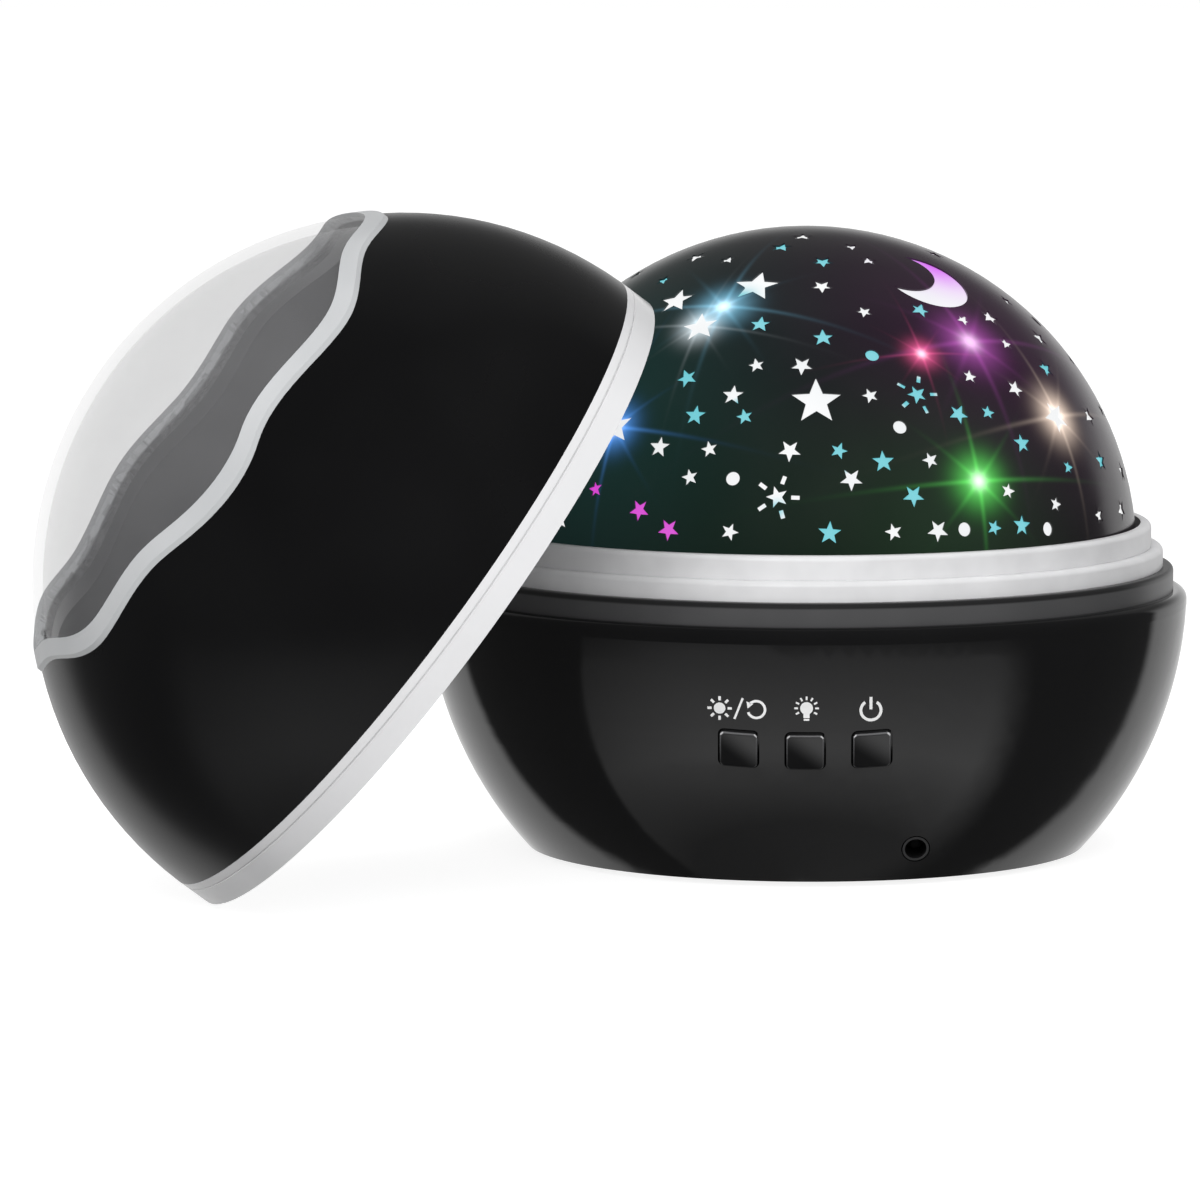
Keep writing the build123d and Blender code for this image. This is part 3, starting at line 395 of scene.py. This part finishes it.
dome = {
    "centre": (0.0, 0.0, 0.0499),
    "radius": 0.0565,
    "skinLook": {"colour": (0.0035, 0.0035, 0.004), "second": (0.0055, 0.0055, 0.006), "scale": 900.0,
                 "rough": 0.2, "bump": 0.02},
    "lensLook": {"colour": (0.1, 0.105, 0.11), "second": (0.13, 0.135, 0.14), "scale": 800.0,
                 "rough": 0.15, "bump": 0.02},
    # Painted glints with painted flare rays, where the LEDs' light seems to show through the skin: azimuth
    # right of the front, elevation, colour, radius, strength, rays
    "paintedGlints": [
        (-39, 27, (0.10, 0.35, 1.0), 0.0034, 0.9, 0.9),
        (-24, 53, (0.25, 0.65, 0.9), 0.0040, 0.7, 0.6),
        (-28, 48, (0.85, 0.95, 1.0), 0.0030, 0.8, 0.4),
        (27, 42, (1.0, 0.12, 0.35), 0.0024, 0.8, 0.6),
        (42, 44, (0.55, 0.10, 0.55), 0.0050, 0.6, 0.5),
        (57, 28, (1.0, 0.8, 0.65), 0.0040, 1.0, 0.6),
        (32, 18, (0.12, 0.8, 0.12), 0.0038, 0.9, 0.8),
    ],
    "rayShare": 0.65,
    "coreSharpness": 8.0,
    # Wide painted glows that tint the skin
    "wideGlows": [
        (-45, 35, (0.004, 0.022, 0.02), 0.027),
        (-5, 12, (0.001, 0.007, 0.002), 0.030),
        (28, 14, (0.004, 0.022, 0.006), 0.020),
        (45, 42, (0.022, 0.003, 0.02), 0.028),
        (-40, 14, (0.001, 0.004, 0.004), 0.026),
    ],
    "dark": (0.0, 0.0, 0.0),
    "white": (1.0, 1.0, 1.0),
    "frost": (0.9, 0.92, 0.93),
    "frostScale": 1200.0,
    "cyan": (0.12, 0.62, 0.7),
    "magenta": (0.75, 0.04, 0.7),
    "tintReach": 0.0036,
    "tintEdge": (0.25, 0.5),
    # Cut-outs glowing cyan and magenta in painted light; a third number is the tint's own reach
    "cyanPlaces": [
        (-15, 73), (7, 67), (-56, 59), (-58, 43), (-71, 43), (-44, 40), (-12, 49), (4, 46), (33, 52, 0.0022),
        (63, 37), (-22, 30), (-12, 30), (38, 30), (31, 30), (44, 24), (6, 24), (14, 22), (55, 19), (68, 19),
        (19, 16), (4, 10), (34, 10), (40, 10), (-26, 37), (23, 34), (15, 42), (-49, 28),
    ],
    "magentaPlaces": [(-49, 16), (-40, 16), (-30, 13), (-24, 10)],
    # Painted coloured light that runs part of the way over a large cut-out
    "washes": [
        (58, 64, (0.72, 0.12, 0.95), 0.0075),
        (-20, 56, (0.12, 0.62, 0.7), 0.0024),
        (-5, 14, (0.12, 0.62, 0.7), 0.0014),
    ],
    "skinStrength": 1.0,
    "lensStrength": 0.85,
}


def domePlace(azimuth, elevation):
    a, e = math.radians(azimuth), math.radians(elevation)
    out = Vector((math.cos(e) * math.sin(a), -math.cos(e) * math.cos(a), math.sin(e)))
    right = Vector((math.cos(a), math.sin(a), 0.0))
    return Vector(dome["centre"]) + out * dome["radius"], right, out.cross(right)


def placeSpot(tree, point, azimuth, elevation, radius):
    centre, right, up = (tuple(v) for v in domePlace(azimuth, elevation))
    spot = placeGroup(tree, "spotGlow", point, Centre=centre, Right=right, Up=up, Radius=radius)
    return spot.outputs["Mask"], spot.outputs["Rays"]


def addLight(tree, glow, power, colour):
    return addMix(tree, 1.0, glow, addMix(tree, power, dome["dark"], colour), "ADD")


def makeDomeSkin():
    material, tree, shader, point = startFinish("domeSkinPaintedGlows", dome["skinLook"])
    glow = dome["dark"]
    # Wide painted glows over the skin
    for azimuth, elevation, colour, radius in dome["wideGlows"]:
        mask = placeSpot(tree, point, azimuth, elevation, radius)[0]
        glow = addLight(tree, glow, mask, colour)
    # Painted glints, their painted flare rays and a white painted core at each
    for azimuth, elevation, colour, radius, strength, raysStrength in dome["paintedGlints"]:
        mask, rays = placeSpot(tree, point, azimuth, elevation, radius)
        power = addMath(tree, "ADD", addMath(tree, "MULTIPLY", mask, strength),
                        addMath(tree, "MULTIPLY", rays, raysStrength * dome["rayShare"]))
        glow = addLight(tree, glow, power, colour)
        core = addMath(tree, "MULTIPLY", addMath(tree, "POWER", mask, dome["coreSharpness"]), strength)
        glow = addLight(tree, glow, core, dome["white"])
    tree.links.new(glow, shader.inputs["Emission Color"])
    shader.inputs["Emission Strength"].default_value = dome["skinStrength"]
    return material


# The lens's glow is painted light: frosted white, with coloured cut-outs and washes
def makeLitLens():
    material, tree, shader, point = startFinish("litLens", dome["lensLook"])
    frost = placeGroup(tree, "mouldGrain", point, Scale=dome["frostScale"])
    light = addMix(tree, frost.outputs["Shade"], dome["frost"], dome["white"])
    for places, colour in ((dome["cyanPlaces"], dome["cyan"]), (dome["magentaPlaces"], dome["magenta"])):
        total = 0.0
        for azimuth, elevation, *ownReach in places:
            reach = ownReach[0] if ownReach else dome["tintReach"]
            total = addMath(tree, "MAXIMUM", total, placeSpot(tree, point, azimuth, elevation, reach)[0])
        light = addMix(tree, addRange(tree, total, *dome["tintEdge"]), light, colour)
    for azimuth, elevation, colour, reach in dome["washes"]:
        light = addMix(tree, placeSpot(tree, point, azimuth, elevation, reach)[0], light, colour)
    tree.links.new(light, shader.inputs["Emission Color"])
    shader.inputs["Emission Strength"].default_value = dome["lensStrength"]
    return material


made["domeSkinPaintedGlows"] = makeDomeSkin()
made["litLens"] = makeLitLens()

dress = {
    "base_bowl": "polishedBlack", "deck": "satinBlack", "silver_ring": "silverLacquer",
    "bottom_plate": "textureBlack", "bottom_screws": "zincSteel", "rubber_feet": "footRubber",
    "battery_door": "textureBlack", "door_screw": "zincSteel", "battery_tray": "textureBlack",
    "batteries": "cellSleeve", "battery_contacts": "nickelStrip",
    "gear_motor": "zincSteel", "motor_stand": "mouldedWhite", "motor_screws": "zincSteel",
    "led_pedestal": "mouldedWhite", "led_board": "boardWhite", "led_screws": "zincSteel",
    "led_white": "ledWhite", "led_red": "ledRed", "led_green": "ledGreen", "led_blue": "ledBlue",
    "control_board": "boardGreen", "control_screws": "zincSteel", "tact_switches": "textureBlack",
    "dc_jack": "textureBlack",
    "dome_lens": "litLens", "star_mask": "domeSkinPaintedGlows", "turntable": "mouldedWhite",
    "drive_pinion": "acetal", "motor_shaft": "zincSteel",
    "rotate_button": "keyCapPaintedHighlights", "light_button": "keyCapPaintedHighlights", "power_button": "keyCapPaintedHighlights",
    "rotate_plunger": "silicone", "light_plunger": "silicone", "power_plunger": "silicone",
    "cover_rim": "whiteGloss", "cover_shell": "shellBlack", "wave_trim": "paleTrim",
    "cover_window": "smokyWindow",
}
for nodeName, node in nodes.items():
    for materialSlot in node.material_slots:
        materialSlot.material = made[dress[nodeName]]

# The lamp's gloss shows the studio and not the cover beside it
for nodeName in ("cover_rim", "cover_shell", "wave_trim", "cover_window"):
    nodes[nodeName].visible_glossy = False
print("finishes:", len(made))


# Pieces of the scene alone

def addPiece(name, bm, body, finish):
    bmesh.ops.remove_doubles(bm, verts=bm.verts, dist=1e-7)
    bmesh.ops.recalc_face_normals(bm, faces=bm.faces)
    mesh = bpy.data.meshes.new(name)
    bm.to_mesh(mesh)
    bm.free()
    piece = bpy.data.objects.new(name, mesh)
    bpy.context.scene.collection.objects.link(piece)
    piece.data.materials.append(made[finish])
    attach(piece, body)
    return piece


# Signs over the keys

signs = {"height": 0.0316, "lift": 0.00003, "thick": 0.00008, "inFront": -0.2, "line": 0.00042,
         "barSteps": 6, "arcSteps": 28}
bowlFront = BVHTree.FromObject(nodes["base_bowl"], bpy.context.evaluated_depsgraph_get())


def laySign(name, bm, x):
    # Flat drawing in x and y, pushed along +Y on to the front, then given its thickness inwards
    for vert in bm.verts:
        start = Vector((x + vert.co.x, signs["inFront"], signs["height"] + vert.co.y))
        hit = bowlFront.ray_cast(start, Vector((0, 1, 0)))[0]
        vert.co = hit + Vector((0, -signs["lift"], 0))
    bmesh.ops.recalc_face_normals(bm, faces=bm.faces)
    grown = bmesh.ops.extrude_face_region(bm, geom=bm.faces[:])
    moved = [v for v in grown["geom"] if isinstance(v, bmesh.types.BMVert)]
    bmesh.ops.translate(bm, verts=moved, vec=(0, signs["thick"], 0))
    addPiece(name, bm, "base", "signWhite")


def addBar(bm, length, width, turn, centre):
    half = Matrix.Diagonal((length / 2, width / 2, 1, 1))
    place = Matrix.Translation((*centre, 0)) @ Matrix.Rotation(turn, 4, "Z") @ half
    bmesh.ops.create_grid(bm, x_segments=signs["barSteps"], y_segments=1, size=1.0, matrix=place)


def addArc(bm, radius, width, start, sweep, centre):
    cos, sin = math.cos(start), math.sin(start)
    ends = [bm.verts.new((centre[0] + r * cos, centre[1] + r * sin, 0))
            for r in (radius - width / 2, radius + width / 2)]
    edge = bm.edges.new(ends)
    bmesh.ops.spin(bm, geom=ends + [edge], cent=(*centre, 0), axis=(0, 0, 1), dvec=(0, 0, 0),
                   angle=sweep, steps=signs["arcSteps"], use_merge=False)


def addRays(bm, count, near, far, width, start, sweep, centre):
    middle = (near + far) / 2
    for i in range(count):
        turn = start + sweep * i / count
        place = (centre[0] + middle * math.cos(turn), centre[1] + middle * math.sin(turn))
        addBar(bm, far - near, width, turn, place)


def addDisc(bm, radius, segments, centre, turn=0.0):
    place = Matrix.Translation((*centre, 0)) @ Matrix.Rotation(turn, 4, "Z")
    bmesh.ops.create_circle(bm, cap_ends=True, segments=segments, radius=radius, matrix=place)


rotateSign = {
    "x": -0.0109, "sun": (-0.0031, 0.0), "sunRadius": 0.00095, "sunSides": 24,
    "rays": 8, "raysNear": 0.0013, "raysFar": 0.0020,
    "slashLength": 0.0038, "slashWidth": 0.00036, "slashTurn": 69,
    "arrow": (0.0029, -0.0001), "arrowRadius": 0.00142, "arrowStart": 140, "arrowSweep": -300,
    "tip": (-0.00118, 0.00080), "tipRadius": 0.00070, "tipTurn": 40,
}


def drawRotateSign():
    sign, bm = rotateSign, bmesh.new()
    addDisc(bm, sign["sunRadius"], sign["sunSides"], sign["sun"])
    addRays(bm, sign["rays"], sign["raysNear"], sign["raysFar"], signs["line"], 0.0, 2 * math.pi, sign["sun"])
    addBar(bm, sign["slashLength"], sign["slashWidth"], math.radians(sign["slashTurn"]), (0.0, 0.0))
    addArc(bm, sign["arrowRadius"], signs["line"], math.radians(sign["arrowStart"]),
           math.radians(sign["arrowSweep"]), sign["arrow"])
    tip = (sign["arrow"][0] + sign["tip"][0], sign["arrow"][1] + sign["tip"][1])
    addDisc(bm, sign["tipRadius"], 3, tip, math.radians(sign["tipTurn"]))
    laySign("rotate_sign", bm, sign["x"])


lightSign = {
    "x": 0.0002, "bulb": (0.0, 0.0002), "bulbRadius": 0.00105, "bulbSides": 28,
    # Length, width and centre of the neck and of the cap under it
    "neck": (0.0010, 0.0008, (0.0, -0.00105)), "cap": (0.0009, 0.0003, (0.0, -0.00175)),
    "rays": 9, "raysNear": 0.0014, "raysFar": 0.0020, "raysWidth": 0.0003, "raysStart": -30, "raysSweep": 270,
}


def drawLightSign():
    sign, bm = lightSign, bmesh.new()
    addDisc(bm, sign["bulbRadius"], sign["bulbSides"], sign["bulb"])
    for length, width, centre in (sign["neck"], sign["cap"]):
        addBar(bm, length, width, 0.0, centre)
    addRays(bm, sign["rays"], sign["raysNear"], sign["raysFar"], sign["raysWidth"],
            math.radians(sign["raysStart"]), math.radians(sign["raysSweep"]), sign["bulb"])
    laySign("light_sign", bm, sign["x"])


powerSign = {
    "x": 0.0107, "line": 0.00048, "ring": (0.0, -0.0002), "ringRadius": 0.00165, "ringStart": 125,
    "ringSweep": 290, "bar": (0.0, 0.0010), "barLength": 0.0021,
}


def drawPowerSign():
    sign, bm = powerSign, bmesh.new()
    addArc(bm, sign["ringRadius"], sign["line"], math.radians(sign["ringStart"]),
           math.radians(sign["ringSweep"]), sign["ring"])
    addBar(bm, sign["barLength"], sign["line"], math.pi / 2, sign["bar"])
    laySign("power_sign", bm, sign["x"])


drawRotateSign()
drawLightSign()
drawPowerSign()
print("signs laid on")


# Finely turned skins over the rim, the collar and the silver ring, whose rounded edges catch the light

skins = {
    "collar_skin": {"finish": "collarBlackPaintedShade", "slot": "black_satin", "radius": 0.0627, "foot": 0.04500,
                    "top": 0.0488, "round": 0.0007, "inner": 0.0610},
    "rim_skin": {"finish": "polishedBlack", "slot": "black_gloss", "radius": 0.0650, "foot": 0.04235,
                 "top": 0.0449, "round": 0.0016, "inner": 0.0628},
    "ring_step_skin": {"finish": "silverLacquer", "slot": "silver", "radius": 0.0609, "foot": 0.0489,
                       "top": 0.0522, "round": 0.0009, "inner": 0.0591},
    "ring_top_skin": {"finish": "silverLacquer", "slot": "silver", "radius": 0.0589, "foot": 0.0523,
                      "top": 0.0562, "round": 0.0009, "inner": 0.0573},
}
skinFit = {"lift": 0.00003, "thick": 0.00015, "roundSteps": 12, "turnSteps": 360, "sharp": 50}


def skinLine(skin, lift):
    # Up the wall, round the edge and in over the top
    middle = (skin["radius"] - skin["round"], skin["top"] - skin["round"])
    reach = skin["round"] + lift
    line = [(skin["radius"] + lift, skin["foot"])]
    for i in range(skinFit["roundSteps"] + 1):
        turn = math.pi / 2 * i / skinFit["roundSteps"]
        line.append((middle[0] + reach * math.cos(turn), middle[1] + reach * math.sin(turn)))
    return line + [(skin["inner"], skin["top"] + lift)]


def turnSkin(name):
    skin = skins[name]
    bm = bmesh.new()
    loop = skinLine(skin, skinFit["lift"]) + skinLine(skin, skinFit["lift"] - skinFit["thick"])[::-1]
    verts = [bm.verts.new((x, 0, z)) for x, z in loop]
    edges = [bm.edges.new((verts[i - 1], verts[i])) for i in range(len(verts))]
    bmesh.ops.spin(bm, geom=verts + edges, cent=(0, 0, 0), axis=(0, 0, 1), dvec=(0, 0, 0),
                   angle=2 * math.pi, steps=skinFit["turnSteps"], use_merge=True)
    piece = addPiece(name, bm, "base", skin["finish"])
    piece.data.shade_smooth()
    piece.data.set_sharp_from_angle(angle=math.radians(skinFit["sharp"]))


for skinName in skins:
    turnSkin(skinName)
print("skins turned:", len(skins))


# Floor, world, lamps and camera

paper = {"half": 4.0, "drop": 0.0002, "colour": (0.38, 0.38, 0.38, 1.0), "glow": 0.86}


def makeFloor():
    bm = bmesh.new()
    place = Matrix.Translation((0, 0, -paper["drop"]))
    bmesh.ops.create_grid(bm, x_segments=1, y_segments=1, size=paper["half"], matrix=place)
    mesh = bpy.data.meshes.new("floor")
    bm.to_mesh(mesh)
    bm.free()
    floor = bpy.data.objects.new("floor", mesh)
    bpy.context.scene.collection.objects.link(floor)
    material = bpy.data.materials.new("floorPaper")
    material.use_nodes = True
    tree = material.node_tree
    tree.nodes.remove(tree.nodes["Principled BSDF"])
    diffuse = tree.nodes.new("ShaderNodeBsdfDiffuse")
    diffuse.inputs["Color"].default_value = paper["colour"]
    glow = tree.nodes.new("ShaderNodeEmission")
    path = tree.nodes.new("ShaderNodeLightPath").outputs
    mirrored = addMath(tree, "MAXIMUM", path["Is Glossy Ray"], path["Is Transmission Ray"])
    seen = addMath(tree, "MAXIMUM", path["Is Camera Ray"], mirrored)
    tree.links.new(addMath(tree, "MULTIPLY", seen, paper["glow"]), glow.inputs["Strength"])
    both = tree.nodes.new("ShaderNodeAddShader")
    tree.links.new(diffuse.outputs[0], both.inputs[0])
    tree.links.new(glow.outputs[0], both.inputs[1])
    # Seen from below the floor is clear
    sides = tree.nodes.new("ShaderNodeMixShader")
    tree.links.new(tree.nodes.new("ShaderNodeNewGeometry").outputs["Backfacing"], sides.inputs[0])
    tree.links.new(both.outputs[0], sides.inputs[1])
    tree.links.new(tree.nodes.new("ShaderNodeBsdfTransparent").outputs[0], sides.inputs[2])
    tree.links.new(sides.outputs[0], tree.nodes["Material Output"].inputs["Surface"])
    floor.data.materials.append(material)
    floor.visible_glossy = False


studio = {
    "ambient": 0.55, "base": 0.08,
    # Card in front: how its edge leans, how its sides and its height fade
    "sideLean": -0.386, "upLean": -0.37,
    "leftEdge": (0.02, 0.06, 0.0, 0.45), "leftFade": (0.06, 0.7, 0.0, 0.55), "rightEdge": (-0.02, 0.3),
    "middle": (-0.1, 0.1), "top": (-0.3, -0.2, 1.0, 0.0), "rise": (-0.68, -0.3, 0.82, 0.38),
    "foot": (-0.93, -0.7, 0.2, 1.0),
    # White behind
    "rearWide": 1.25, "rearEdge": (-0.05, 0.12), "rearRise": (0.05, 0.4, 0.72, 0.08),
}


def makeWorld():
    # White to the camera; gloss sees a pale card low in front, white behind and dark cards at the sides
    world = bpy.data.worlds.new("studio")
    bpy.context.scene.world = world
    world.use_nodes = True
    tree = world.node_tree
    back = tree.nodes["Background"]
    path = tree.nodes.new("ShaderNodeLightPath").outputs
    parts = tree.nodes.new("ShaderNodeSeparateXYZ")
    tree.links.new(tree.nodes.new("ShaderNodeTexCoord").outputs["Generated"], parts.inputs[0])
    x, y, z = parts.outputs
    side = addMath(tree, "ABSOLUTE", x)
    toFront = addMath(tree, "MULTIPLY_ADD", z, studio["upLean"], addMath(tree, "MULTIPLY", y, -1.0))
    frontRoom = addMath(tree, "MULTIPLY_ADD", side, studio["sideLean"], toFront)
    # The card has a sharp edge on the left and fades to the right
    leftEdge = addMath(tree, "ADD", addRange(tree, frontRoom, *studio["leftEdge"], True),
                       addRange(tree, frontRoom, *studio["leftFade"]))
    rightEdge = addRange(tree, frontRoom, *studio["rightEdge"], smooth=True)
    toRight = addRange(tree, x, *studio["middle"])
    front = addMath(tree, "MULTIPLY_ADD", addMath(tree, "SUBTRACT", rightEdge, leftEdge), toRight, leftEdge)
    rise = addMath(tree, "MULTIPLY", addRange(tree, z, *studio["top"], True),
                   addRange(tree, z, *studio["rise"]))
    low = addMath(tree, "MULTIPLY", rise, addRange(tree, z, *studio["foot"]))
    card = addMath(tree, "MULTIPLY", front, low)
    rearRoom = addMath(tree, "SUBTRACT", addMath(tree, "MULTIPLY", y, studio["rearWide"]), side)
    rear = addMath(tree, "MULTIPLY", addRange(tree, rearRoom, *studio["rearEdge"], smooth=True),
                   addRange(tree, z, *studio["rearRise"], True))
    gloss = addMath(tree, "ADD", addMath(tree, "MAXIMUM", card, rear), studio["base"])
    seen = addMath(tree, "MAXIMUM", path["Is Camera Ray"], path["Is Transmission Ray"])
    notGloss = addMath(tree, "SUBTRACT", 1.0, path["Is Glossy Ray"])
    plain = addMath(tree, "MULTIPLY", notGloss, studio["ambient"])
    shown = addMath(tree, "ADD", addMath(tree, "MULTIPLY", path["Is Glossy Ray"], gloss), plain)
    tree.links.new(addMath(tree, "MAXIMUM", shown, seen), back.inputs["Strength"])
    back.inputs["Color"].default_value = (1.0, 1.0, 1.0, 1.0)


softboxes = {
    "frontSoftbox": {"place": (-0.15, -1.5, 0.75), "aim": (0.0, 0.0, 0.05), "size": 1.2, "power": 22.0},
    "topSoftbox": {"place": (0.1, 0.2, 1.4), "aim": (0.0, 0.0, 0.05), "size": 1.0, "power": 5.0},
}


def addSoftbox(name):
    box = softboxes[name]
    light = bpy.data.lights.new(name, "AREA")
    light.shape = "SQUARE"
    light.size = box["size"]
    light.energy = box["power"]
    lamp = bpy.data.objects.new(name, light)
    lamp.location = box["place"]
    lamp.rotation_euler = (Vector(box["aim"]) - Vector(box["place"])).to_track_quat("-Z", "Y").to_euler()
    lamp.visible_glossy = False
    bpy.context.scene.collection.objects.link(lamp)


view = {"distance": 1.300, "height": 0.190, "focal": 7640.0, "axisX": 807.0, "tableY": 848.3,
        "frame": 1200.0, "sensor": 36.0, "clipStart": 0.05}


def makeCamera():
    # Level sight line set by where the lamp's axis and the table fall in the 1200 pixel frame
    middle = view["frame"] / 2
    horizon = view["tableY"] - view["focal"] * view["height"] / view["distance"]
    sight = Vector(((middle - view["axisX"]) / view["focal"], 1.0, -(middle - horizon) / view["focal"]))
    data = bpy.data.cameras.new("camera")
    data.sensor_width = view["sensor"]
    data.lens = view["focal"] / view["frame"] * view["sensor"]
    data.clip_start = view["clipStart"]
    camera = bpy.data.objects.new("camera", data)
    camera.location = (0.0, -view["distance"], view["height"])
    camera.rotation_euler = sight.to_track_quat("-Z", "Y").to_euler()
    bpy.context.scene.collection.objects.link(camera)
    bpy.context.scene.camera = camera


makeFloor()
makeWorld()
for boxName in softboxes:
    addSoftbox(boxName)
makeCamera()
bpy.context.scene.view_settings.view_transform = "Standard"
print("stage set")
